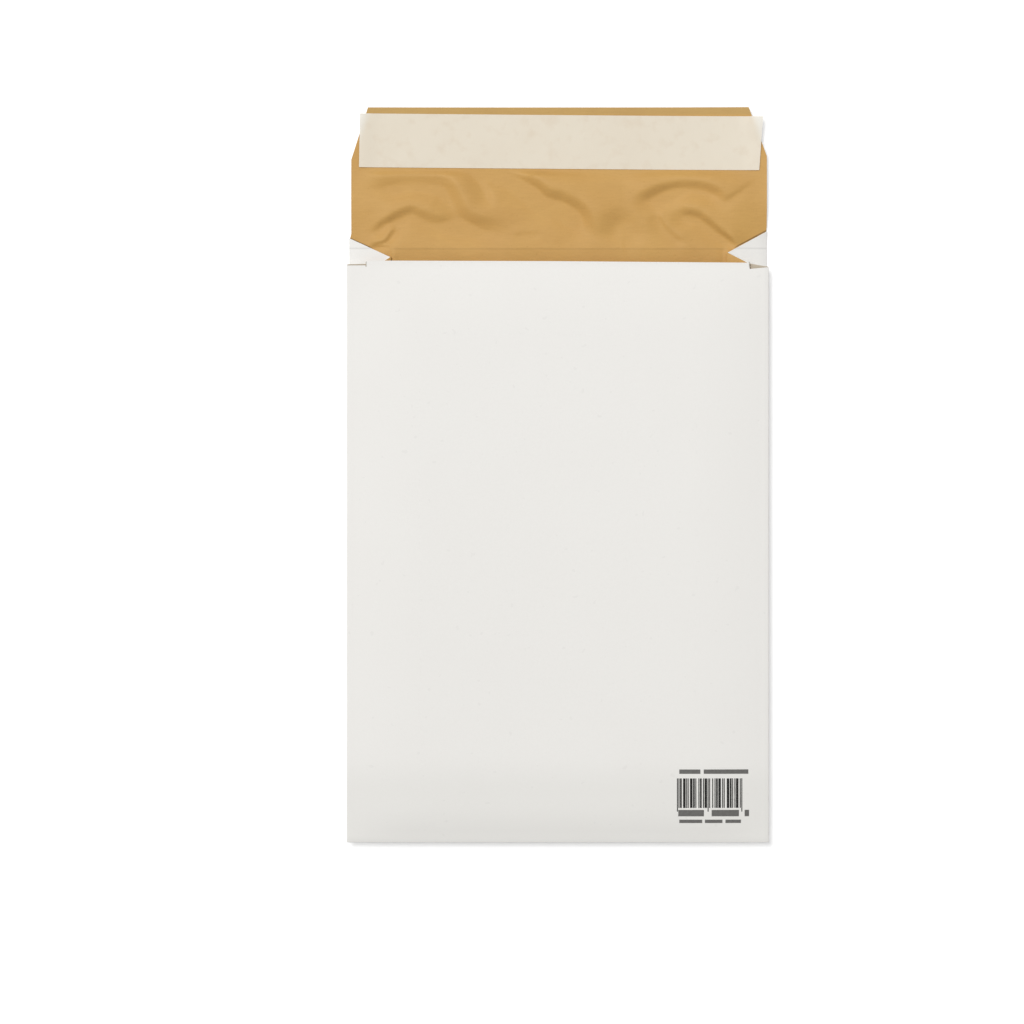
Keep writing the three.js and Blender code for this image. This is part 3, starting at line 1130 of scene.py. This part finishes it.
# Camera, in millimetres. The picture spans FRAME_WIDTH at the height of the side edges.
CAMERA_X, CAMERA_Y = -27.2, -22.0
FRAME_WIDTH = 607.8
CAMERA_HEIGHT = 3000.0
SENSOR = 36.0

# Floor and light, in metres
FLOOR_HALF = 1.8
FLOOR_GREY = 0.85
FLOOR_GLOW = 0.4
AMBIENT = 0.36
KEY_PLACE = (-0.95, 1.25, 3.6)
KEY_AIM = (3.2, 0.0, 0.0)
KEY_SIZE = 2.4
KEY_POWER = 126.0


def camera():
    data = bpy.data.cameras.new("camera")
    data.sensor_width = SENSOR
    data.lens = SENSOR * (CAMERA_HEIGHT - EDGE_HEIGHT) / FRAME_WIDTH
    eye = bpy.data.objects.new("camera", data)
    eye.location = (CAMERA_X * MM, CAMERA_Y * MM, CAMERA_HEIGHT * MM)
    bpy.context.scene.collection.objects.link(eye)
    bpy.context.scene.camera = eye


def key_light():
    data = bpy.data.lights.new("key", "AREA")
    data.shape = "DISK"
    data.size = KEY_SIZE
    data.energy = KEY_POWER
    light = bpy.data.objects.new("key", data)
    light.location = KEY_PLACE
    towards = Vector(KEY_AIM) - Vector(KEY_PLACE)
    light.rotation_euler = towards.to_track_quat("-Z", "Y").to_euler()
    bpy.context.scene.collection.objects.link(light)


def white_for_camera(tree, lit, strength):
    """Adds an emission that only the camera, gloss and glass see."""
    nodes, links = tree.nodes, tree.links
    path = nodes.new("ShaderNodeLightPath")
    seen = path.outputs["Is Camera Ray"]
    for other in ("Is Glossy Ray", "Is Transmission Ray"):
        either = nodes.new("ShaderNodeMath")
        either.operation = "MAXIMUM"
        links.new(seen, either.inputs[0])
        links.new(path.outputs[other], either.inputs[1])
        seen = either.outputs["Value"]
    scaled = nodes.new("ShaderNodeMath")
    scaled.operation = "MULTIPLY"
    scaled.inputs[1].default_value = strength
    links.new(seen, scaled.inputs[0])
    glow = nodes.new("ShaderNodeEmission")
    links.new(scaled.outputs["Value"], glow.inputs["Strength"])
    total = nodes.new("ShaderNodeAddShader")
    links.new(lit, total.inputs[0])
    links.new(glow.outputs["Emission"], total.inputs[1])
    return total.outputs["Shader"]


def floor():
    mesh = bpy.data.meshes.new("floor")
    signs = ((-1, -1), (1, -1), (1, 1), (-1, 1))
    corners = [(x * FLOOR_HALF, y * FLOOR_HALF, 0.0) for x, y in signs]
    mesh.from_pydata(corners, [], [(0, 1, 2, 3)])
    ground = bpy.data.objects.new("floor", mesh)
    bpy.context.scene.collection.objects.link(ground)
    material = bpy.data.materials.new("floor")
    material.use_nodes = True
    tree = material.node_tree
    tree.nodes.clear()
    diffuse = tree.nodes.new("ShaderNodeBsdfDiffuse")
    diffuse.inputs["Color"].default_value = (FLOOR_GREY, FLOOR_GREY, FLOOR_GREY, 1.0)
    output = tree.nodes.new("ShaderNodeOutputMaterial")
    shown = white_for_camera(tree, diffuse.outputs["BSDF"], FLOOR_GLOW)
    tree.links.new(shown, output.inputs["Surface"])
    mesh.materials.append(material)


def world():
    sky = bpy.data.worlds.new("world")
    bpy.context.scene.world = sky
    sky.use_nodes = True
    tree = sky.node_tree
    tree.nodes.clear()
    ambient = tree.nodes.new("ShaderNodeBackground")
    ambient.inputs["Color"].default_value = (1.0, 1.0, 1.0, 1.0)
    ambient.inputs["Strength"].default_value = AMBIENT
    output = tree.nodes.new("ShaderNodeOutputWorld")
    shown = white_for_camera(tree, ambient.outputs["Background"], 1.0 - AMBIENT)
    tree.links.new(shown, output.inputs["Surface"])


def studio():
    bpy.context.scene.view_settings.view_transform = "Standard"
    camera()
    floor()
    world()
    key_light()


build_envelope()
studio()
